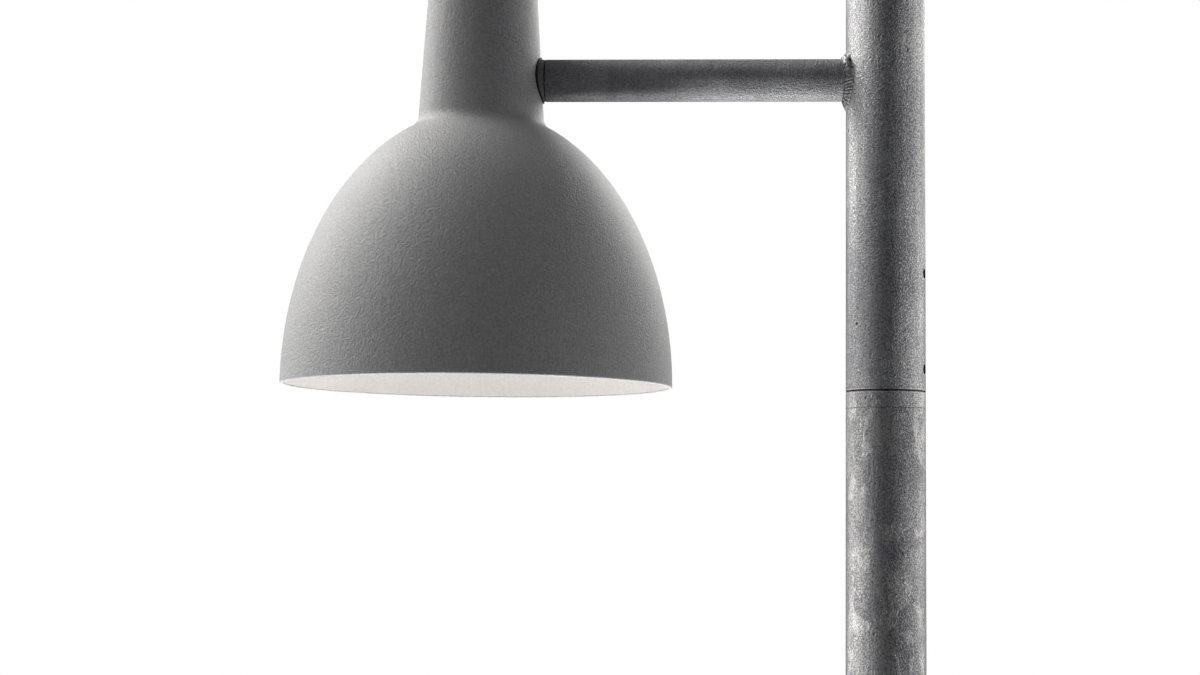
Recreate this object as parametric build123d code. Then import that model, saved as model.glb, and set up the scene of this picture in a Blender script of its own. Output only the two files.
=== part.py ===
# Street lamp post, about 3 m high: a round galvanised steel post on a square flange plate, with a
# turning head that carries one short side arm and a bell-shaped cast aluminium shade.
# Millimetres. The origin is on the ground on the post's axis, +Z is up, and the arm points along -X.
# The service door and the arm's left side face -Y.
import math
import os

from build123d import *

# ---- Overall sizes -------------------------------------------------------------------------------
total_height = 3000.0        # ground to the top of the post cap
rim_height = 2640.0          # ground to the shade's rim
reach = 312.0                # post axis to shade axis
arm_above_rim = 238.4        # arm axis above the shade's rim
seam_below_rim = 1.7         # middle of the joint line in the post, below the rim

# ---- Post and its joint --------------------------------------------------------------------------
post_od = 60.3               # standard tube
post_wall = 3.65
head_wall = 5.0              # thicker, so that the set screws have thread enough
seam_width = 0.8             # the dark line between the two tubes
collar_od = 58.5
spigot_fit = 0.25            # radial, spigot in the head tube
spigot_depth = 80.0          # below the joint line
spigot_rise = 112.0          # above the joint line
spigot_bore = 38.0
groove_depth = 2.0
groove_width = 12.0
spigot_chamfer = 2.0
cap_thickness = 4.0
cap_skirt = 14.0
cap_skirt_wall = 3.0
cap_edge = 2.0

# ---- Set screws of the head ----------------------------------------------------------------------
set_screw_od = 6.0
set_screw_length = 6.0
set_screw_heights = (16.7, 89.4)     # above the joint line
set_screw_turn = 71.0                # degrees from -Y towards +X
set_screw_key = 3.0                  # hexagon socket across flats
set_screw_key_depth = 2.6
set_screw_edge = 0.5                 # chamfer of both ends
set_screw_mouth = 1.2                # countersink of the threaded hole

# ---- Base ----------------------------------------------------------------------------------------
plate_side = 240.0
plate_thickness = 12.0
plate_corner = 15.0
bolt_spacing = 180.0
bolt_hole = 18.0
cable_hole = 50.0
base_weld_leg = 7.0
plate_edge = 1.0

# ---- Service door --------------------------------------------------------------------------------
door_width = 40.0            # of the opening
door_height = 180.0
door_low = 430.0             # lower edge of the opening above ground
door_corner = 8.0
door_gap = 1.2
lug_overlap = 14.0           # how far a lug reaches behind the door
lug_thickness = 4.1
lug_width = 18.0
door_screw_od = 5.0
door_screw_head = 10.0
door_screw_length = 10.0
door_screw_key = 3.0         # hexagon socket across flats
door_screw_key_depth = 2.2
head_sunk = 0.15             # countersunk head below the door's curved face

# ---- Fuse box behind the door --------------------------------------------------------------------
box_width = 36.0
box_depth = 24.0
box_height = 120.0
box_wall = 2.0
box_corner = 3.0
box_drop = 5.0               # box middle below the door's middle
box_front = -8.0             # y of the parting line between body and cover
cover_depth = 6.0
bar_width = 34.0
bar_thickness = 4.0
bar_margin = 24.0            # mounting bar beyond the box, each end
pillar_radius = 4.0          # for the cover screw
pillar_tap = 13.0

# ---- Cables --------------------------------------------------------------------------------------
cable_od = 7.2
post_bend = 40.0             # radius where the cable turns from the post into the arm
neck_bend = 30.0             # radius where it turns down inside the shade's neck

# ---- Arm -----------------------------------------------------------------------------------------
arm_od = 32.7
arm_wall = 3.2
arm_weld_leg = 5.5
wire_hole = 24.0             # through the head tube, behind the arm

# ---- Shade ---------------------------------------------------------------------------------------
rim_diameter = 300.0
dome_height = 214.0          # vertical half axis of the dome's ellipse
dome_wall = 3.0
neck_radius = 48.1           # at neck_level
neck_level = 217.0           # above the rim
neck_slope = 0.0596          # radius lost for each unit of height
neck_wall = 4.0
shade_height = 350.0
top_wall = 8.0
throat_radius = 13.0         # concave sweep between dome and neck
crown_radius = 8.0
rim_edge = 1.1

# ---- Joint between arm and neck ------------------------------------------------------------------
gasket_thickness = 1.0
gasket_od = 35.6
arm_end = 50.4               # shade axis to the arm's end face
seal_thickness = 0.8
nipple_od = 20.0
nipple_bore = 13.0
nipple_inner_end = 26.0      # from the shade axis
nipple_in_arm = 18.0
pad_face = 38.0              # flat pad inside the neck, from the shade axis
pad_size = 38.0
washer_thickness = 2.0
washer_od = 33.0
lock_nut_across = 30.0
lock_nut_height = 8.0

# ---- Lampholder and bulb -------------------------------------------------------------------------
plate_level = 193.9          # top of the holder plate above the rim
holder_plate_radius = 45.0
holder_plate_thickness = 2.0
boss_reach = 36.0            # shade axis to the plate screws
boss_width = 12.0
boss_height = 24.0
plate_screw_radius = 2.0
plate_screw_depth = 16.0     # of the hole in a boss
holder_length = 56.0
holder_radius = 23.0
holder_waist = 3.5           # radius lost at the waist
holder_lip = 1.5             # radius lost at the mouth, and its rounding
socket_depth = 30.0
socket_radius = 14.6
shell_wall = 0.6
cap_radius = 13.1            # screw cap of the bulb
cap_length = 22.5
bulb_radius = 30.0
bulb_length = 85.0           # below the holder's mouth
globe_height = 40.0
globe_wall = 1.4
housing_wall = 1.8
board_thickness = 1.6

# ---- Clearances ----------------------------------------------------------------------------------
touch = 0.05                 # between pieces fixed to each other
slip = 0.1                   # between flat faces of pieces that move on each other
hole_fit = 0.2               # radial, screw in a plain hole
screw_fit = 0.05             # radial, screw in its thread

# ---- Sizes that follow ---------------------------------------------------------------------------
post_radius = post_od / 2
post_bore = post_radius - post_wall
head_bore = post_radius - head_wall
arm_radius = arm_od / 2
rim_radius = rim_diameter / 2
arm_height = rim_height + arm_above_rim
seam_height = rim_height - seam_below_rim
post_top = seam_height - seam_width / 2
head_bottom = seam_height + seam_width / 2
spigot_radius = head_bore - spigot_fit
groove_radius = spigot_radius - groove_depth
shade_x = -reach
head_top = total_height - cap_thickness
door_middle = door_low + door_height / 2
door_top = door_low + door_height
box_back = box_front + box_depth
box_low = door_middle - box_height / 2 - box_drop
box_high = box_low + box_height
cable_radius = cable_od / 2
split_x = shade_x + (arm_end + pad_face) / 2     # where arm cable and lamp cable meet
mouth_level = plate_level - holder_plate_thickness - touch - holder_length


# ---- Basic shapes --------------------------------------------------------------------------------
def rod(radius, low, high, x=0.0, y=0.0):
    # Upright round bar.
    return Pos(x, y, low) * Cylinder(radius, high - low, align=(Align.CENTER, Align.CENTER, Align.MIN))


def pipe(radius, bore, low, high, x=0.0, y=0.0):
    # Upright tube.
    return rod(radius, low, high, x, y) - rod(bore, low - 1, high + 1, x, y)


def rod_x(radius, start, end, y=0.0, z=0.0):
    # Round bar along X.
    bar = Cylinder(radius, end - start, align=(Align.CENTER, Align.CENTER, Align.MIN))
    return Pos(start, y, z) * Rot(0, 90, 0) * bar


def rod_y(radius, start, end, x=0.0, z=0.0):
    # Round bar along Y.
    bar = Cylinder(radius, end - start, align=(Align.CENTER, Align.CENTER, Align.MIN))
    return Pos(x, start, z) * Rot(-90, 0, 0) * bar


def block(x_range, y_range, z_range):
    # Rectangular block between two values on each axis.
    sizes = [high - low for low, high in (x_range, y_range, z_range)]
    middle = [(high + low) / 2 for low, high in (x_range, y_range, z_range)]
    return Pos(*middle) * Box(*sizes)


def hexagon(across, height):
    # Six-sided prism standing on the XY plane.
    return extrude(RegularPolygon(across / 2, 6, major_radius=False), amount=height)


def lathe(outline, x=0.0):
    # Solid of revolution about an upright axis, from points of radius and height.
    face = make_face(Plane.XZ * Polyline(*outline, close=True))
    return Pos(x, 0, 0) * revolve(face, axis=Axis.Z)


def cone_y(wide, narrow, start, end, z):
    # Cone along Y, from radius wide at start to radius narrow at end.
    shape = Cone(wide, narrow, end - start, align=(Align.CENTER, Align.CENTER, Align.MIN))
    return Pos(0, start, z) * Rot(-90, 0, 0) * shape


def group(solids):
    # Several separate solids kept together as one named piece.
    return Compound(children=[solid for shape in solids for solid in shape.solids()])


# ---- Base ----------------------------------------------------------------------------------------
def make_base_plate():
    plate = extrude(RectangleRounded(plate_side, plate_side, plate_corner), amount=plate_thickness)
    plate = chamfer(plate.faces().sort_by(Axis.Z)[-1].edges(), plate_edge)
    for side in (-1, 1):
        for end in (-1, 1):
            place = (side * bolt_spacing / 2, end * bolt_spacing / 2)
            plate -= rod(bolt_hole / 2, -1, plate_thickness + 1, *place)
    return plate - rod(cable_hole / 2, -1, plate_thickness + 1)


def make_base_weld():
    inner = post_radius + touch
    low = plate_thickness + touch
    return lathe([(inner, low), (inner + base_weld_leg, low), (inner, low + base_weld_leg)])


# ---- Lower post ----------------------------------------------------------------------------------
def door_prism(shrink):
    # Upright rounded rectangle, run through the -Y wall of the post.
    outline = RectangleRounded(door_width - 2 * shrink, door_height - 2 * shrink, door_corner - shrink)
    return Pos(0, -post_radius / 3, door_middle) * extrude(Plane.XZ * outline, amount=post_od)


def make_lower_post():
    return pipe(post_radius, post_bore, plate_thickness, post_top) - door_prism(0)


def make_spigot():
    # Turned sleeve: lower shank in the post, thin collar in the joint line, upper shank in the head.
    lower = rod(post_bore - touch, seam_height - spigot_depth, post_top)
    collar = rod(collar_od / 2, post_top, head_bottom - slip)
    upper = rod(spigot_radius, post_top, seam_height + spigot_rise)
    upper = chamfer(upper.faces().sort_by(Axis.Z)[-1].edges(), spigot_chamfer)
    body = lower + collar + upper
    for rise in set_screw_heights:
        level = seam_height + rise
        half = groove_width / 2
        body -= pipe(spigot_radius + 1, groove_radius, level - half, level + half)
    return body - rod(spigot_bore / 2, seam_height - spigot_depth - 1, seam_height + spigot_rise + 1)


def door_screw_levels():
    return (door_low + lug_overlap / 2, door_top - lug_overlap / 2)


def make_door_lugs():
    # Curved lugs behind the opening's ends, tapped for the door screws.
    curve = pipe(post_bore - touch, post_bore - lug_thickness, door_low - 40, door_top + 40)
    half = lug_width / 2
    lugs = []
    for edge, level in zip((door_low, door_top), door_screw_levels()):
        window = block((-half, half), (-post_od, 0), (edge - lug_overlap, edge + lug_overlap))
        lug = (curve & window) - rod_y(door_screw_od / 2 + screw_fit, -post_od, 0, z=level)
        lugs.append(lug)
    return group(lugs)


# ---- Service door --------------------------------------------------------------------------------
def door_head_depth():
    # The countersunk head lies just below the door's curved face.
    half = door_screw_head / 2
    return -math.sqrt(post_radius ** 2 - half ** 2) + head_sunk


def screw_head_height():
    return (door_screw_head - door_screw_od) / 2


def make_service_door():
    panel = pipe(post_radius, post_bore, door_low, door_top) & door_prism(door_gap)
    start = door_head_depth()
    grow = door_screw_head / 2 + slip
    for level in door_screw_levels():
        panel -= rod_y(door_screw_od / 2 + hole_fit, -post_od, 0, z=level)
        panel -= cone_y(grow, grow - screw_head_height(), start, start + screw_head_height(), level)
        panel -= rod_y(grow, -post_od, start, z=level)
    return panel


def make_door_screw(level):
    start = door_head_depth()
    head_end = start + screw_head_height()
    screw = cone_y(door_screw_head / 2, door_screw_od / 2, start, head_end, level)
    screw += rod_y(door_screw_od / 2, head_end, head_end + door_screw_length, z=level)
    socket = hexagon(door_screw_key, 1 + door_screw_key_depth)
    return screw - Pos(0, start - 1, level) * Rot(-90, 0, 0) * socket


# ---- Fuse box ------------------------------------------------------------------------------------
box_screw_levels = (box_low + 8.5, box_high - 7.5)
pillar_level = box_low + 50.0
terminal_low = box_low + 15.0
terminal_high = terminal_low + 30.0
fuse_low = pillar_level + 5.0
fuse_high = fuse_low + 52.0
box_screw_od = 4.0
small_head = 7.0             # diameter of the small pan heads
small_head_height = 2.5
cover_screw_length = 16.0
gland_radius = 6.0           # of the threaded stem
gland_flange_radius = 7.4
gland_cap_radius = 6.2
gland_stem = 5.0             # into the box
gland_flange = 4.0
gland_length = 12.0
gland_places = ((0.0, 1), (-9.0, -1), (9.0, -1))     # x, and 1 for the top or -1 for the bottom


def box_shell(y_range, open_front):
    # Half of the box: five walls, open towards the other half.
    half = box_width / 2
    outside = block((-half, half), y_range, (box_low, box_high))
    outside = fillet(outside.edges().filter_by(Axis.Y), box_corner)
    inner_y = (y_range[0] - 1, y_range[1] - box_wall)
    if not open_front:
        inner_y = (y_range[0] + box_wall, y_range[1] + 1)
    inner_half = half - box_wall
    inside = block((-inner_half, inner_half), inner_y, (box_low + box_wall, box_high - box_wall))
    return outside - inside


def make_fuse_box_body():
    body = box_shell((box_front, box_back), True)
    body += rod_y(pillar_radius, box_front, box_back - 1, z=pillar_level)
    body -= rod_y(box_screw_od / 2 + screw_fit, box_front - 1, box_front + pillar_tap, z=pillar_level)
    for level in box_screw_levels:
        body -= rod_y(box_screw_od / 2 + screw_fit, box_back - box_wall - 1, box_back + 1, z=level)
    for x, side in gland_places:
        edge = box_high if side > 0 else box_low
        body -= rod(gland_radius + touch, edge - 3, edge + 3, x)
    return body


def make_fuse_box_cover():
    cover = box_shell((box_front - slip - cover_depth, box_front - slip), False)
    return cover - rod_y(box_screw_od / 2 + hole_fit, box_front - 20, box_front, z=pillar_level)


def pan_screw_y(start, direction, length, x, z):
    # Pan-head screw along Y: its head's seat is at start, and the shank runs the way of direction.
    head = sorted((start, start - direction * small_head_height))
    shank = sorted((start, start + direction * length))
    head_solid = rod_y(small_head / 2, head[0], head[1], x, z)
    return head_solid + rod_y(box_screw_od / 2, shank[0], shank[1], x, z)


def make_box_screws():
    seat = box_back - box_wall - touch
    return group([pan_screw_y(seat, 1, box_wall + bar_thickness, 0, z) for z in box_screw_levels])


def make_cover_screw():
    seat = box_front - slip - cover_depth - touch
    return pan_screw_y(seat, 1, cover_screw_length, 0, pillar_level)


def make_mounting_bar():
    # Flat bar whose rear corners are welded to the inside of the post.
    half = bar_width / 2
    bar = block((-half, half), (box_back + touch, box_back + touch + bar_thickness),
                (box_low - bar_margin, box_high + bar_margin))
    for level in box_screw_levels:
        bar -= rod_y(box_screw_od / 2 + screw_fit, box_back, box_back + 10, z=level)
    return bar


terminal_places = (-9.0, 0.0, 9.0)
terminal_half_width = 14.0
terminal_depth = 12.0
terminal_wall = 2.0          # before and behind the brass inserts
terminal_half_slot = 3.0
terminal_screw_radius = 1.5
terminal_wire_radius = 1.9
terminal_levels = (terminal_low + 8, terminal_high - 8)


def make_terminal_block():
    back = box_back - box_wall - touch
    front = back - terminal_depth
    half = terminal_half_width
    body = block((-half, half), (front, back), (terminal_low, terminal_high))
    slot_y = (front + terminal_wall, back - terminal_wall)
    for x in terminal_places:
        slot_x = (x - terminal_half_slot, x + terminal_half_slot)
        body -= block(slot_x, slot_y, (terminal_low - 1, terminal_high + 1))
        for z in terminal_levels:
            body -= rod_y(terminal_screw_radius + 0.7, front - 1, front + 3, x, z)
    return body


def make_terminal_inserts():
    back = box_back - box_wall - touch
    half = terminal_half_slot - slip
    bar_y = (back - terminal_depth + terminal_wall + slip, back - terminal_wall - slip)
    inserts = []
    for x in terminal_places:
        bar = block((x - half, x + half), bar_y, (terminal_low + 2, terminal_high - 2))
        bar -= rod(terminal_wire_radius, terminal_low, terminal_high, x, back - 4.6)
        for z in terminal_levels:
            bar -= rod_y(terminal_screw_radius + screw_fit, back - 11, back - 5, x, z)
        inserts.append(bar)
    return group(inserts)


def make_terminal_screws():
    back = box_back - box_wall - touch
    screws = []
    for x in terminal_places:
        for z in terminal_levels:
            screws.append(rod_y(terminal_screw_radius, back - 11.5, back - 5.5, x, z))
    return group(screws)


fuse_y = box_back - box_wall - 12.5
fuse_radius = 5.15
fuse_length = 38.0
fuse_cap_length = 10.0
fuse_base_half_width = 12.0
fuse_base_height = 5.0
clip_wall = 0.9
clip_half_width = 3.5
fuse_middle = (fuse_low + fuse_high) / 2


def make_fuse_holder():
    back = box_back - box_wall - touch
    half = fuse_base_half_width
    return block((-half, half), (back - fuse_base_height, back), (fuse_low, fuse_high))


def make_fuse_clips():
    # Two sprung clips that grip the fuse's end caps and stand on the holder.
    clips = []
    for side in (-1, 1):
        z = fuse_middle + side * (fuse_length - fuse_cap_length) / 2
        low, high = z - clip_half_width, z + clip_half_width
        ring = pipe(fuse_radius + clip_wall, fuse_radius + touch, low, high, 0, fuse_y)
        mouth = block((-3.2, 3.2), (fuse_y - 12, fuse_y), (low - 1, high + 1))
        foot_end = box_back - box_wall - fuse_base_height - 2 * touch
        foot = block((-4, 4), (fuse_y + fuse_radius + clip_wall / 2, foot_end), (low, high))
        clips.append((ring - mouth) + foot)
    return group(clips)


def make_fuse_body():
    half = fuse_length / 2 - fuse_cap_length
    return rod(fuse_radius - 0.15, fuse_middle - half, fuse_middle + half, 0, fuse_y)


def make_fuse_caps():
    half = fuse_length / 2
    inner = half - fuse_cap_length + touch
    low = rod(fuse_radius, fuse_middle - half, fuse_middle - inner, 0, fuse_y)
    high = rod(fuse_radius, fuse_middle + inner, fuse_middle + half, 0, fuse_y)
    return group([low, high])


def make_cable_glands():
    # Threaded stem through the wall, flange, and a domed cap; bored for the cable.
    glands = []
    for x, side in gland_places:
        edge = box_high if side > 0 else box_low
        steps = (
            (gland_radius, -gland_stem, gland_flange),
            (gland_flange_radius, touch, gland_flange),
            (gland_cap_radius, touch, gland_length),
        )
        gland = Part()
        for radius, start, end in steps:
            low, high = sorted((edge + side * start, edge + side * end))
            gland += rod(radius, low, high, x)
        glands.append(gland - rod(cable_radius + touch, edge - 20, edge + 20, x))
    return group(glands)


# ---- Earth connection ----------------------------------------------------------------------------
earth_od = 6.0
earth_washer_radius = 6.0
earth_washer_thickness = 1.2
earth_nut_across = 10.0
earth_nut_height = 5.0
earth_level = box_low - gland_length - earth_od / 2 - 2


def make_earth_stud():
    return rod_y(earth_od / 2, -2.0, box_back, z=earth_level)


def make_earth_washer():
    high = box_back - slip
    ring = rod_y(earth_washer_radius, high - earth_washer_thickness, high, z=earth_level)
    return ring - rod_y(earth_od / 2 + hole_fit, 0, 30, z=earth_level)


def make_earth_nut():
    low = box_back - 2 * slip - earth_washer_thickness - earth_nut_height
    nut = Pos(0, low, earth_level) * Rot(-90, 0, 0) * hexagon(earth_nut_across, earth_nut_height)
    return nut - rod_y(earth_od / 2 + screw_fit, -10, 30, z=earth_level)


# ---- Cables --------------------------------------------------------------------------------------
def cable_along(points, radii):
    # Round cable along straight runs joined by tangent arcs.
    path = FilletPolyline(*points, radius=radii)
    start = Plane(origin=path @ 0, z_dir=path % 0)
    cable = sweep(start * Circle(cable_radius), path=path)
    expected = math.pi * cable_radius ** 2 * path.length
    print("cable", round(path.length, 1), "mm, volume ratio", round(cable.volume / expected, 5))
    return cable


def make_post_cable():
    return rod(cable_radius, box_high - 12.0, seam_height - touch)


def make_head_cable():
    points = [(0, 0, seam_height + touch), (0, 0, arm_height), (split_x + touch, 0, arm_height)]
    return cable_along(points, [post_bend])


def make_lamp_cable():
    end = rim_height + plate_level - 8.0
    points = [(split_x - touch, 0, arm_height), (shade_x, 0, arm_height), (shade_x, 0, end)]
    return cable_along(points, [neck_bend])


# ---- Head ----------------------------------------------------------------------------------------
def set_screw_place(level):
    # Frame whose +Z points outwards along a set screw, with its origin on the post's axis.
    angle = math.radians(set_screw_turn)
    outwards = (math.sin(angle), -math.cos(angle), 0)
    return Plane(origin=(0, 0, level), x_dir=(0, 0, 1), z_dir=outwards)


def make_head_tube():
    tube = pipe(post_radius, head_bore, head_bottom, head_top)
    tube -= rod_x(wire_hole / 2, -post_od, 0, z=arm_height)
    for rise in set_screw_heights:
        place = set_screw_place(seam_height + rise)
        start = (Align.CENTER, Align.CENTER, Align.MIN)
        tube -= place * Cylinder(set_screw_od / 2 + screw_fit, post_od, align=start)
        wide = set_screw_od / 2 + set_screw_mouth
        mouth = Cone(set_screw_od / 2, wide, set_screw_mouth, align=start)
        tube -= place * Pos(0, 0, post_radius - 1.0) * mouth
    return tube


def make_set_screw(rise):
    start = (Align.CENTER, Align.CENTER, Align.MIN)
    tip = groove_radius + 0.15
    body = Cylinder(set_screw_od / 2, set_screw_length, align=start)
    body = chamfer(body.edges().filter_by(GeomType.CIRCLE), set_screw_edge)
    socket = Pos(0, 0, set_screw_length - set_screw_key_depth) * hexagon(set_screw_key, 4.0)
    place = set_screw_place(seam_height + rise)
    return place * Pos(0, 0, tip) * (body - socket)


def make_post_cap():
    disc = rod(post_radius, head_top + touch, total_height)
    disc = fillet(disc.faces().sort_by(Axis.Z)[-1].edges(), cap_edge)
    skirt = pipe(head_bore - touch, head_bore - cap_skirt_wall, head_top - cap_skirt, head_top + 1)
    return disc + skirt


def make_arm_tube():
    arm = rod_x(arm_radius, shade_x + arm_end, -post_radius / 2, z=arm_height)
    arm -= rod_x(arm_radius - arm_wall, shade_x + arm_end - 1, 0, z=arm_height)
    return arm - rod(post_radius + touch, arm_height - arm_od, arm_height + arm_od)


def make_arm_weld():
    # Conical fillet between the arm and the round face of the post.
    start = -post_radius - arm_weld_leg
    end = -post_radius / 2
    wide = arm_radius + end - start
    cone = Cone(arm_radius, wide, end - start, align=(Align.CENTER, Align.CENTER, Align.MIN))
    bead = Pos(start, 0, arm_height) * Rot(0, 90, 0) * cone
    limit = rod_x(arm_radius + arm_weld_leg * 1.35, start - 1, end, z=arm_height)
    bead = (bead & limit) - rod_x(arm_radius + touch, start - 1, 0, z=arm_height)
    return bead - rod(post_radius + touch, arm_height - post_od, arm_height + post_od)


def make_arm_plug():
    # Ring welded inside the arm's end and tapped for the nipple.
    start = shade_x + arm_end
    plug = rod_x(arm_radius - arm_wall - touch, start, start + nipple_in_arm + 2, z=arm_height)
    return plug - rod_x(nipple_od / 2 + screw_fit, start - 1, start + 40, z=arm_height)


def make_nipple():
    start = shade_x + nipple_inner_end
    end = shade_x + arm_end + nipple_in_arm
    body = rod_x(nipple_od / 2, start, end, z=arm_height)
    return body - rod_x(nipple_bore / 2, start - 1, end + 1, z=arm_height)


def make_nipple_washer():
    end = shade_x + pad_face - slip
    ring = rod_x(washer_od / 2, end - washer_thickness, end, z=arm_height)
    return ring - rod_x(nipple_od / 2 + hole_fit, end - 10, end + 1, z=arm_height)


def make_lock_nut():
    end = shade_x + pad_face - slip - washer_thickness - touch
    nut = Rot(0, 90, 0) * hexagon(lock_nut_across, lock_nut_height)
    nut = Pos(end - lock_nut_height, 0, arm_height) * nut
    return nut - rod_x(nipple_od / 2 + screw_fit, end - 20, end + 1, z=arm_height)


def make_arm_seal():
    start = shade_x + arm_end - touch - seal_thickness
    ring = rod_x(arm_radius - 0.5, start, start + seal_thickness, z=arm_height)
    return ring - rod_x(nipple_od / 2 + 0.3, start - 1, start + 3, z=arm_height)


# ---- Shade ---------------------------------------------------------------------------------------
def neck_at(level, offset=0.0):
    # Outer radius of the neck's cone at a level above the rim.
    return neck_radius + neck_slope * (neck_level - level) + offset


def neck_meets_dome(half_width, half_height, offset):
    # Level where the cone's straight side crosses the dome's ellipse, as the root of a quadratic.
    zero = neck_at(0, offset)
    a = (neck_slope / half_width) ** 2 + 1 / half_height ** 2
    b = -2 * zero * neck_slope / half_width ** 2
    c = (zero / half_width) ** 2 - 1
    return (-b + math.sqrt(b * b - 4 * a * c)) / (2 * a)


def bell(half_width, half_height, offset, top):
    # Solid bell: elliptical dome below, tapered neck above.
    meet = neck_meets_dome(half_width, half_height, offset)
    angle = math.degrees(math.asin(meet / half_height))
    dome = EllipticalCenterArc((0, 0), half_width, half_height, start_angle=0, arc_size=angle)
    side = [(neck_at(meet, offset), meet), (neck_at(top, offset), top)]
    neck = Polyline(*side, (0, top), (0, 0), (half_width, 0))
    face = make_face(Plane.XZ * (dome + neck))
    return revolve(face, axis=Axis.Z), meet


def make_shade():
    outside, meet = bell(rim_radius, dome_height, 0.0, shade_height)
    rings = outside.edges().filter_by(GeomType.CIRCLE)
    throat = rings.filter_by_position(Axis.Z, meet - 1, meet + 1)
    outside = fillet(throat, throat_radius)
    crown = outside.edges().filter_by(GeomType.CIRCLE).sort_by(Axis.Z)[-1:]
    outside = fillet(crown, crown_radius)
    inside, inner_meet = bell(rim_radius - dome_wall, dome_height - dome_wall, -neck_wall,
                              shade_height - top_wall)
    shell = outside - inside
    edges = shell.edges().filter_by(GeomType.CIRCLE).filter_by_position(Axis.Z, -0.5, 0.5)
    shell = fillet(edges, rim_edge)
    # Flat pad inside the neck for the nipple's washer, and two bosses for the holder plate.
    half = pad_size / 2
    pad = block((pad_face, neck_at(arm_above_rim) - 1), (-half, half),
                (arm_above_rim - half, arm_above_rim + half))
    core = lathe([(0, 150), (neck_at(150) - 2, 150), (neck_at(300) - 2, 300), (0, 300)])
    shell += pad & core
    shell -= rod_x(nipple_od / 2 + slip, 0, reach / 2, z=arm_above_rim)
    boss_high = plate_level + boss_height
    half = boss_width / 2
    for side in (-1, 1):
        span = sorted((side * (boss_reach - half), side * (neck_at(boss_high) - 1)))
        boss = block((-half, half), span, (plate_level + touch, boss_high))
        shell += boss & core
        thread = plate_screw_radius + screw_fit
        shell -= rod(thread, plate_level - 1, plate_level + plate_screw_depth, 0, side * boss_reach)
    return Pos(shade_x, 0, rim_height) * shell


def neck_cone(offset):
    # Outer cone of the neck about the arm's level, larger by offset.
    low = arm_above_rim - 40
    high = arm_above_rim + 40
    outline = [(0, low), (neck_at(low, offset), low), (neck_at(high, offset), high), (0, high)]
    return Pos(shade_x, 0, rim_height) * lathe(outline)


def make_neck_gasket():
    # Rubber saddle that follows the neck's curve.
    bar = rod_x(gasket_od / 2, shade_x + 20, shade_x + 60, z=arm_height)
    saddle = (bar & neck_cone(touch + gasket_thickness)) - neck_cone(touch)
    saddle = saddle - rod_x(nipple_od / 2 + slip, shade_x, 0, z=arm_height)
    return saddle


def make_saddle_adaptor():
    # Ring with one saddle face on the gasket and one flat face towards the arm.
    end = shade_x + arm_end - seal_thickness - slip - 2 * touch
    bar = rod_x(arm_radius, shade_x + 20, end, z=arm_height)
    ring = bar - neck_cone(2 * touch + gasket_thickness)
    return ring - rod_x(nipple_od / 2 + slip, shade_x, 0, z=arm_height)


# ---- Lampholder ----------------------------------------------------------------------------------
holder_top = plate_level - holder_plate_thickness - touch
holder_screw_reach = 16.0
holder_screw_depth = 10.0
holder_screw_radius = 1.7
plate_head_radius = 3.75
plate_head_height = 2.6
plate_screw_length = 14.0
holder_head_radius = 3.0
holder_head_height = 2.2
grommet_radius = 6.4         # in the plate's hole
grommet_flange = 8.5
wiring_recess_radius = 6.0
wiring_recess_depth = 10.0
shell_inset = 3.0            # socket shell above the holder's mouth


def place_lamp(shape):
    # Pieces of the lamp are drawn about the shade's axis with zero at the rim.
    return Pos(shade_x, 0, rim_height) * shape


def make_holder_plate():
    low = plate_level - holder_plate_thickness
    disc = rod(holder_plate_radius, low, plate_level)
    for side in (-1, 1):
        disc -= rod(plate_screw_radius + hole_fit, low - 1, plate_level + 1, 0, side * boss_reach)
        disc -= rod(holder_screw_radius + slip, low - 1, plate_level + 1, side * holder_screw_reach, 0)
    disc -= rod(grommet_radius + slip, low - 1, plate_level + 1)
    return place_lamp(disc)


def make_plate_screws():
    seat = plate_level - holder_plate_thickness - touch
    screws = []
    for side in (-1, 1):
        y = side * boss_reach
        head = rod(plate_head_radius, seat - plate_head_height, seat, 0, y)
        screws.append(head + rod(plate_screw_radius, seat - 1, seat + plate_screw_length, 0, y))
    return place_lamp(group(screws))


def make_holder_screws():
    seat = plate_level + touch
    screws = []
    for side in (-1, 1):
        x = side * holder_screw_reach
        length = holder_plate_thickness + holder_screw_depth - 1
        head = rod(holder_head_radius, seat, seat + holder_head_height, x)
        screws.append(head + rod(holder_screw_radius, seat - length, seat + 1, x))
    return place_lamp(group(screws))


def make_plate_grommet():
    ring = rod(grommet_flange, plate_level + touch, plate_level + 2)
    ring += rod(grommet_radius, plate_level - holder_plate_thickness, plate_level + 1)
    return place_lamp(ring - rod(cable_radius + touch, 0, 300))


def make_lamp_holder():
    # Porcelain body with a waist, an open screw socket below and a wiring recess above.
    top = holder_top
    mouth = mouth_level
    wide = holder_radius
    waist = holder_radius - holder_waist
    lip = holder_radius - holder_lip
    outline = [(0, top), (wide, top), (wide, top - 14), (waist, top - 20), (waist, mouth + 12),
               (lip, mouth + 6), (lip, mouth), (0, mouth)]
    body = lathe(outline)
    mouth_edge = body.edges().filter_by(GeomType.CIRCLE).filter_by_position(Axis.Z, mouth - 1, mouth + 1)
    body = fillet(mouth_edge, holder_lip)
    body -= rod(socket_radius, mouth - 1, mouth + socket_depth)
    body -= rod(wiring_recess_radius, top - wiring_recess_depth, top + 1)
    for side in (-1, 1):
        thread = holder_screw_radius + screw_fit
        body -= rod(thread, top - holder_screw_depth, top + 1, side * holder_screw_reach)
    return place_lamp(body)


def make_socket_shell():
    outer = socket_radius - touch
    high = mouth_level + socket_depth - 2
    return place_lamp(pipe(outer, outer - shell_wall, mouth_level + shell_inset, high))


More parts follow.
